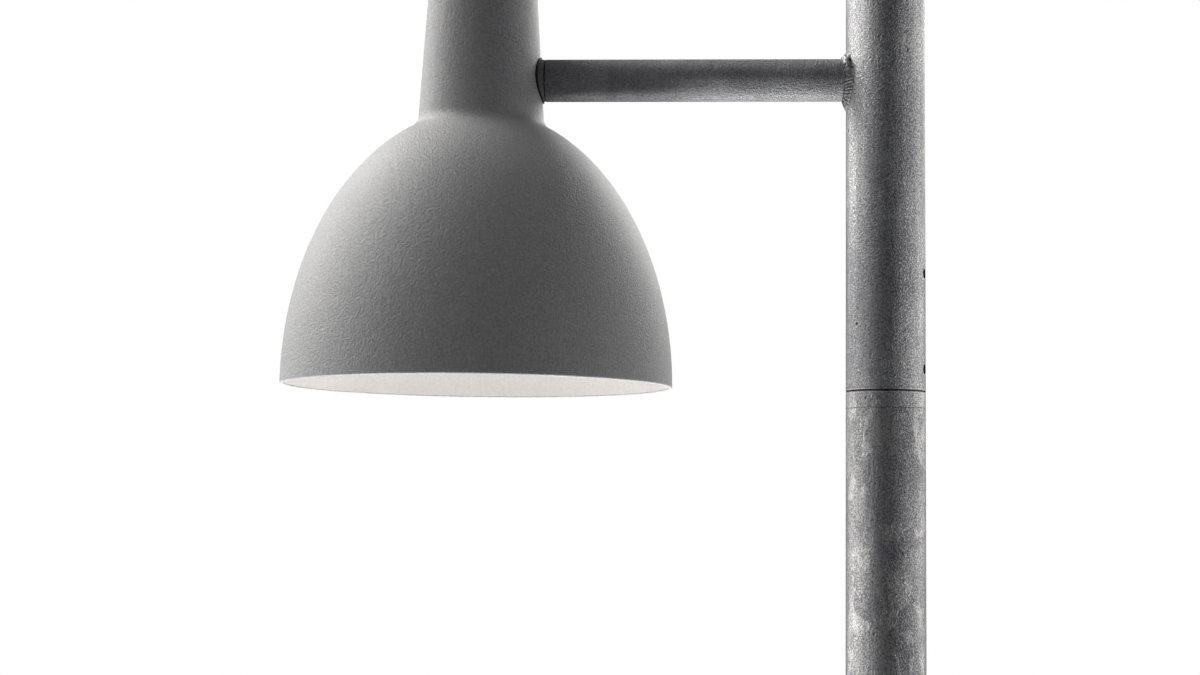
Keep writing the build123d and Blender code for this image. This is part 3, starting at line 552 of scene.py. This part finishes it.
whiteLook = {
    "dark": (0.76, 0.745, 0.73), "light": (0.88, 0.865, 0.85), "rough": 0.35, "speck": 500.0, "depth": 0.00006,
}
insideWhite = coatMaterial("insideWhite", whiteLook)


def plainFinish(name, dark, light, rough, metallic=0.0, scale=300.0, depth=0.00004, stretch=(1, 1, 1),
                scratches=0.0):
    # moulded, rubber or machined finish: two tones of fine noise, matching roughness and a small bump
    material, tree, shader, place = startMaterial(name, metallic)
    vector = stretched(tree, place, *stretch)
    fine = noiseAt(tree, vector, scale, 3.0, 0.6)
    colour = mixColours(tree, remap(tree, fine, 0.3, 0.7), (*dark, 1), (*light, 1))
    if scratches:
        lines = groupNode(tree, fineScratches, Vector=place, Width=0.012)
        worn = mathNode(tree, "MULTIPLY", lines.outputs["Mask"], scratches)
        colour = mixColours(tree, worn, colour, (*(min(1, 1.5 * v + 0.05) for v in light), 1))
    tree.links.new(colour, shader.inputs["Base Color"])
    tree.links.new(remap(tree, fine, 0.2, 0.8, rough + 0.07, rough - 0.07), shader.inputs["Roughness"])
    addBump(tree, shader, fine, depth)
    return material


finishes = {
    "blackRubber": plainFinish("blackRubber", (0.012, 0.012, 0.013), (0.03, 0.03, 0.031), 0.7, scale=900,
                               depth=0.0001),
    "castAlloy": plainFinish("castAlloy", (0.26, 0.26, 0.265), (0.48, 0.48, 0.485), 0.42, 0.2, 700, 0.0002),
    "turnedSteel": plainFinish("turnedSteel", (0.40, 0.40, 0.41), (0.58, 0.58, 0.59), 0.33, 1.0, 250, 0.00005,
                               (0.4, 0.4, 12), 0.4),
    "rolledSteel": plainFinish("rolledSteel", (0.36, 0.36, 0.37), (0.52, 0.52, 0.53), 0.42, 1.0, 180, 0.00006,
                               (1, 1, 0.2), 0.6),
    "brightZinc": plainFinish("brightZinc", (0.58, 0.58, 0.60), (0.74, 0.74, 0.76), 0.28, 1.0, 600, 0.00004,
                              scratches=0.4),
    "blackSteel": plainFinish("blackSteel", (0.012, 0.012, 0.013), (0.035, 0.035, 0.037), 0.5, 0.0, 900, 0.00003,
                              scratches=0.3),
    "greyPlastic": plainFinish("greyPlastic", (0.30, 0.31, 0.32), (0.36, 0.37, 0.38), 0.5, scale=1200,
                               depth=0.00006),
    "blackPlastic": plainFinish("blackPlastic", (0.02, 0.02, 0.02), (0.045, 0.045, 0.047), 0.45, scale=1200,
                                depth=0.00006),
    "creamPlastic": plainFinish("creamPlastic", (0.70, 0.66, 0.54), (0.78, 0.74, 0.63), 0.45, scale=1200,
                                depth=0.00005),
    "brassMetal": plainFinish("brassMetal", (0.60, 0.43, 0.18), (0.78, 0.58, 0.28), 0.3, 1.0, 400, 0.00003,
                              scratches=0.4),
    "nickelMetal": plainFinish("nickelMetal", (0.62, 0.60, 0.56), (0.76, 0.74, 0.70), 0.22, 1.0, 400, 0.00003,
                               scratches=0.4),
    "glazedPorcelain": plainFinish("glazedPorcelain", (0.80, 0.79, 0.75), (0.87, 0.86, 0.83), 0.14, scale=60,
                                   depth=0.0001),
    "whiteEnamel": plainFinish("whiteEnamel", (0.78, 0.77, 0.74), (0.85, 0.84, 0.81), 0.28, scale=120,
                               depth=0.00008),
    "whiteMoulding": plainFinish("whiteMoulding", (0.80, 0.80, 0.79), (0.86, 0.86, 0.85), 0.35, scale=900,
                                 depth=0.00004),
    "boardWhite": plainFinish("boardWhite", (0.78, 0.78, 0.75), (0.86, 0.86, 0.84), 0.3, scale=500, depth=0.00003),
    "opalGlobe": plainFinish("opalGlobe", (0.84, 0.83, 0.80), (0.90, 0.89, 0.87), 0.4, scale=200, depth=0.00003),
    "cableSheath": plainFinish("cableSheath", (0.015, 0.015, 0.015), (0.035, 0.035, 0.036), 0.5, scale=700,
                               depth=0.00005),
}
finishByNode = {
    "headZinc": ["head_tube", "post_cap"],
    "postZinc": ["base_plate", "lower_post", "service_door"],
    "armZinc": ["arm_tube"],
    "blackRubber": ["neck_gasket", "arm_seal", "plate_grommet"],
    "castAlloy": ["saddle_adaptor"],
    "turnedSteel": ["arm_plug", "nipple"],
    "rolledSteel": ["door_lugs", "mounting_bar"],
    "brightZinc": ["box_screws", "cover_screw", "terminal_screws", "earth_stud", "earth_washer", "earth_nut",
                   "door_screw_lower", "door_screw_upper", "nipple_washer", "lock_nut", "plate_screws",
                   "holder_screws"],
    "blackSteel": ["set_screw_lower", "set_screw_upper", "spigot"],
    "greyPlastic": ["fuse_box_body", "fuse_box_cover"],
    "blackPlastic": ["cable_glands", "bulb_contact"],
    "creamPlastic": ["terminal_block", "fuse_holder"],
    "brassMetal": ["terminal_inserts", "fuse_clips", "socket_shell", "socket_contact"],
    "nickelMetal": ["fuse_caps", "bulb_cap"],
    "glazedPorcelain": ["lamp_holder", "fuse_body"],
    "whiteEnamel": ["holder_plate"],
    "whiteMoulding": ["bulb_housing"],
    "boardWhite": ["bulb_board"],
    "opalGlobe": ["bulb_globe"],
    "cableSheath": ["post_cable", "head_cable", "lamp_cable"],
}
bulbGlow = {"colour": (1.0, 0.97, 0.92, 1), "strength": 1.7}      # the lamp is softly lit
globeShader = finishes["opalGlobe"].node_tree.nodes["Principled BSDF"]
globeShader.inputs["Emission Color"].default_value = bulbGlow["colour"]
globeShader.inputs["Emission Strength"].default_value = bulbGlow["strength"]
finishes.update({"headZinc": headZinc, "postZinc": postZinc, "armZinc": armZinc, "weldZinc": weldZinc})
for finishName, nodeNames in finishByNode.items():
    for nodeName in nodeNames:
        for materialSlot in nodes[nodeName].material_slots:
            materialSlot.material = finishes[finishName]
print("materials assigned")


# shade
shadeForm = {
    "domeHeight": 0.214, "domeWall": 0.003, "neckRadius": 0.0481, "neckLevel": 0.217, "neckSlope": 0.0596,
    "neckWall": 0.004, "topWall": 0.008, "throat": 0.013, "crown": 0.008, "edge": 0.0011, "turns": 224,
}


def crossingHeight(form, halfWidth, halfHeight, offset):
    # height where the neck's straight side meets the dome's ellipse
    zero = form["neckRadius"] + form["neckSlope"] * form["neckLevel"] + offset
    a = (form["neckSlope"] / halfWidth) ** 2 + 1 / halfHeight ** 2
    b = -2 * zero * form["neckSlope"] / halfWidth ** 2
    c = (zero / halfWidth) ** 2 - 1
    return (-b + math.sqrt(b * b - 4 * a * c)) / (2 * a), zero


def throatArc(form, halfWidth, halfHeight, offset, count):
    # circle that touches the dome's ellipse from outside and the neck's side: its centre is found by
    # stepping along the ellipse's normals until it lies one radius from the neck's side
    radius = form["throat"]
    t = np.linspace(math.radians(50), math.radians(85), 4000)
    normal = np.stack((np.cos(t) / halfWidth, np.sin(t) / halfHeight), -1)
    normal /= np.linalg.norm(normal, axis=1)[:, None]
    foot = np.stack((halfWidth * np.cos(t), halfHeight * np.sin(t)), -1)
    centre = foot + radius * normal
    slope = form["neckSlope"]
    zero = form["neckRadius"] + slope * form["neckLevel"] + offset
    gap = (centre[:, 0] + slope * centre[:, 1] - zero) / math.hypot(1, slope) - radius
    best = int(np.argmin(np.abs(gap)))
    middle, touch = centre[best], foot[best]
    first = math.atan2(touch[1] - middle[1], touch[0] - middle[0])
    last = math.atan2(-slope, -1.0)
    turn = np.linspace(first % (2 * np.pi), last % (2 * np.pi), count)
    arc = middle + radius * np.stack((np.cos(turn), np.sin(turn)), -1)
    return arc, math.degrees(t[best])


def shadeProfile(form):
    top = shadeHigh.z - rimLevel
    zero = form["neckRadius"] + form["neckSlope"] * form["neckLevel"]
    crownRadius = zero - form["neckSlope"] * top
    throat, domeEnd = throatArc(form, rimRadius, form["domeHeight"], 0.0, 14)
    edge = form["edge"]
    outerDome = arcPoints((0, 0), rimRadius, form["domeHeight"], domeEnd, 0.6, 90)[1:]
    rimOut = arcPoints((rimRadius - edge, edge), edge, edge, 0, -90, 6)
    innerRadius = rimRadius - form["domeWall"]
    rimIn = arcPoints((innerRadius + edge, edge), edge, edge, -90, -180, 6)
    innerHeight = form["domeHeight"] - form["domeWall"]
    meet, innerZero = crossingHeight(form, innerRadius, innerHeight, -form["neckWall"])
    innerEnd = math.degrees(math.asin(meet / innerHeight))
    innerDome = arcPoints((0, 0), innerRadius, innerHeight, 0.6, innerEnd, 70)
    innerTop = top - form["topWall"]
    bend = form["crown"]
    crown = arcPoints((crownRadius - bend, top - bend), bend, bend, 90, 3.5, 10)
    neckTop = crown[-1]
    neck = np.linspace(neckTop, throat[-1], 16)[1:-1]
    outside = np.concatenate(([[0, top]], np.linspace((0.008, top), crown[0], 4)[:-1], crown, neck,
                              throat[::-1], outerDome, rimOut))
    innerNeckEnd = (innerZero - form["neckSlope"] * innerTop, innerTop)
    inside = np.concatenate((rimIn, innerDome, np.linspace(innerDome[-1], innerNeckEnd, 8)[1:],
                             np.linspace(innerNeckEnd, (0.0, innerTop), 5)[1:]))
    return outside, inside


outsideProfile, insideProfile = shadeProfile(shadeForm)
wholeProfile = np.concatenate((outsideProfile, insideProfile))
slotOfRow = np.where(np.arange(len(wholeProfile)) < len(outsideProfile) + 5, 0, 1)
shadePoints = lathePoints(wholeProfile, shadeX, rimLevel, shadeForm["turns"])
shadeBell = gridPiece("shadeBell", shadePoints, [shadeCoat, insideWhite], "lamp", closeAcross=True,
                      faceSlots=slotOfRow, sharp=40)
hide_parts("shade")
print("shade built,", len(shadeBell.data.polygons), "faces")


# weld at the arm's root
armWeldForm = {
    "toe": 0.0330,          # bead's end on the arm, from the post's axis
    "toeRagged": 0.0019,
    "frontLeg": 0.0003,     # bead's reach on the post at the sides, the top and the bottom
    "topLeg": 0.0052,
    "bottomLeg": 0.0085,
    "bulge": 0.0011,
    "lumps": 0.00035,
    "blob": (122, 0.20, 24, 0.26, 0.0016),      # angle, place across, size in each, height
    "crater": (143, 0.70, 19, 0.19, -0.0034),
    "shoulder": (133, 26, 0.0034),              # angle, size and extra reach of the bead above the crater
    "ripples": (0.00034, 44),                   # height and count of the weld's ripples, on the lower half
    "turns": 540,
    "across": 28,
}


def smoothNoise(rng, shape, rounds):
    # white noise blurred by neighbour averages round and across, scaled to one
    noise = rng.normal(0, 1, shape)
    for _ in range(rounds):
        noise = (2 * noise + np.roll(noise, 1, 1) + np.roll(noise, -1, 1)) / 4
        noise[1:-1] = (2 * noise[1:-1] + noise[2:] + noise[:-2]) / 4
    return noise / np.abs(noise).max()


def hill(p, t, spot):
    # gaussian of the angle and of the place across, at a spot
    angle, across, widthAngle, widthAcross = spot[:4]
    turn = (np.degrees(p) - angle) / widthAngle
    return np.exp(-turn ** 2 - ((t - across) / widthAcross) ** 2)


def weldBead(form):
    # for angle p round the arm: a ragged toe on the arm at nearly one distance from the post's axis, a foot
    # on the post's face, and a quadratic arc between them pushed out by bulge, lumps, ripples, blob and crater
    rng = np.random.default_rng(11)
    p = np.linspace(0, 2 * np.pi, form["turns"], endpoint=False)
    t = np.linspace(0, 1, form["across"])[:, None]
    ragged = smoothNoise(rng, (3, form["turns"]), 9)[1]
    top, bottom = np.clip(np.sin(p), 0, 1), np.clip(-np.sin(p), 0, 1)
    toe = -form["toe"] - form["toeRagged"] * ragged
    front = form["frontLeg"]
    leg = front + (form["topLeg"] - front) * top + (form["bottomLeg"] - front) * bottom ** 3
    turn, width, reach = form["shoulder"]
    leg = leg + reach * np.exp(-((np.degrees(p) - turn) / width) ** 2)
    leg = leg * (1 + 0.25 * smoothNoise(rng, (3, form["turns"]), 30)[1])
    y, z = np.cos(p), np.sin(p)
    rootX = -np.sqrt(postRadius ** 2 - (armRadius * y) ** 2)
    onArm = np.stack((toe, 0.992 * armRadius * y, 0.992 * armRadius * z), -1)
    outer = armRadius + leg
    outerX = -np.sqrt(np.maximum(postRadius ** 2 - (outer * y) ** 2, 1e-6)) + 0.0003
    onPost = np.stack((outerX, outer * y, outer * z), -1)
    middle = armRadius + 0.3 * leg + form["bulge"]
    corner = np.stack((rootX + 0.3 * (toe - rootX) - form["bulge"], middle * y, middle * z), -1)
    tt = t[..., None]
    points = (1 - tt) ** 2 * onArm + 2 * tt * (1 - tt) * corner + tt ** 2 * onPost
    blob, crater = hill(p, t, form["blob"]), hill(p, t, form["crater"])
    lift = form["lumps"] * smoothNoise(rng, points.shape[:2], 4)
    lift = lift + form["blob"][4] * blob + form["crater"][4] * crater
    rippleHeight, rippleCount = form["ripples"]
    uneven = 5 * smoothNoise(rng, points.shape[:2], 9)
    lift = lift + rippleHeight * np.sin(rippleCount * p + 5 * t + uneven) * np.clip(0.4 - np.sin(p), 0, 1)
    lift = lift * np.sin(np.pi * t) ** 0.5
    points[..., 0] -= 0.5 * lift
    points[..., 1] += lift * y
    points[..., 2] += lift * z
    back = points[::-1][1:-1].copy()
    back[..., 0] += 0.0014
    back[..., 1:] *= 0.97
    whole = np.concatenate((points, back))
    whole[..., 2] += armLevel
    hidden = np.zeros(back.shape[:2])
    # first mark, painted highlight: on the blob, in streaks near the toe, on a lip round the crater and on a ridge
    # along the foot; second mark, scorch with painted shade: in the crater, along the toe and at the foot's edge
    highlightStreaks = np.clip(smoothNoise(rng, (3, form["turns"]), 3)[1], 0, 1) * (1 - t)
    craterLipHighlight = np.exp(-((crater - 0.20) / 0.07) ** 2) * (np.degrees(p) < 150)
    footRidgeHighlight = np.exp(-((t - 0.86) / 0.05) ** 2) * np.clip(0.3 - np.sin(p), 0, 1)
    rough = smoothNoise(rng, points.shape[:2], 2)
    bright = np.clip(2.6 * blob - 0.7, 0, 1) * (0.85 + 0.3 * rough)
    bright = bright + 0.5 * highlightStreaks + 0.8 * craterLipHighlight + 0.5 * footRidgeHighlight
    broken = 0.7 + 0.5 * smoothNoise(rng, (3, form["turns"]), 3)[1]
    # painted shadow along the toe, where the bead meets the arm
    toeShadow = np.exp(-((t - 0.14) / 0.08) ** 2) * (blob < 0.45) * broken
    scorchAndShade = np.clip(3.2 * crater - 0.8, 0, 1) * (0.9 + 0.5 * rough) + 1.0 * toeShadow
    # painted shade in the crease along the foot on the post, except at the top
    scorchAndShade = scorchAndShade + 0.9 * np.exp(-((t - 0.97) / 0.035) ** 2) * (top < 0.8)
    return whole, {"bright": np.concatenate((np.clip(bright, 0, 1), hidden)),
                   "scorchAndShade": np.concatenate((np.clip(scorchAndShade, 0, 1), hidden))}


beadPoints, beadMarks = weldBead(armWeldForm)
armWeld = gridPiece("armWeld", beadPoints, [weldZinc], "head", closeAcross=True, closeAlong=True,
                    marks=beadMarks)
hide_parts("arm_weld")


# weld round the foot
footWeldForm = {"leg": 0.0068, "bulge": 0.0006, "ripples": 64, "turns": 512, "across": 9}


def footBead(form):
    # quarter section from the post's face down to the plate, its size rippled by a sine of the angle
    p = np.linspace(0, 2 * np.pi, form["turns"], endpoint=False)
    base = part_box("base_plate")[1].z
    waves = 0.05 * np.sin(form["ripples"] * p) + 0.06 * np.sin(5 * p + 1) + 0.04 * np.sin(11 * p)
    leg = form["leg"] * (1 + waves)
    t = np.linspace(0, 1, form["across"])[:, None]
    swell = form["bulge"] * np.sin(np.pi * t)
    radius = postRadius + leg * t + swell
    height = base + leg * (1 - t) + swell
    front = np.stack((radius * np.cos(p), radius * np.sin(p), height + 0 * p), -1)
    inner = np.stack((postRadius * np.cos(p), postRadius * np.sin(p), base + 0 * p), -1)[None]
    return np.concatenate((front, inner))


footWeld = gridPiece("footWeld", footBead(footWeldForm), [weldZinc], "post", closeAcross=True,
                     closeAlong=True, sharp=60)
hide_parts("base_weld")
print("welds built")


# floor
floorForm = {"halfSize": 1.4, "below": 0.0005, "grey": 0.52, "rough": 0.9}


def addFloor(form):
    step = np.linspace(-form["halfSize"], form["halfSize"], 9)
    x, y = np.meshgrid(step, step)
    mesh = bpy.data.meshes.new("studioFloor")
    points = np.stack((x, y, 0 * x - form["below"]), -1)
    n = len(step)
    i, j = np.meshgrid(np.arange(n - 1), np.arange(n - 1), indexing="ij")
    quads = np.stack((i * n + j, i * n + j + 1, (i + 1) * n + j + 1, (i + 1) * n + j), -1)
    mesh.from_pydata(points.reshape(-1, 3).tolist(), [], quads.reshape(-1, 4).tolist())
    material, tree, shader, place = startMaterial("paleFloor")
    shader.inputs["Base Color"].default_value = (form["grey"], form["grey"], form["grey"], 1)
    shader.inputs["Roughness"].default_value = form["rough"]
    mesh.materials.append(material)
    floor = bpy.data.objects.new("studioFloor", mesh)
    bpy.context.scene.collection.objects.link(floor)


addFloor(floorForm)


# soft light lying under the lamp and shining up into the shade; it isn't seen itself
upLight = {"size": 0.6, "watts": 6.5, "spread": 44, "place": (-0.30, 0.05, 0.05)}


def addUpLight(form):
    light = bpy.data.lights.new("upLight", "AREA")
    light.shape = "SQUARE"
    light.size = form["size"]
    light.energy = form["watts"]
    light.spread = math.radians(form["spread"])
    holder = bpy.data.objects.new("upLight", light)
    holder.location = form["place"]
    holder.rotation_euler = (math.pi, 0, 0)     # a lamp shines along its own -Z, so this one shines up
    holder.visible_camera = False
    holder.visible_glossy = False
    bpy.context.scene.collection.objects.link(holder)


addUpLight(upLight)
print("floor laid and light set")
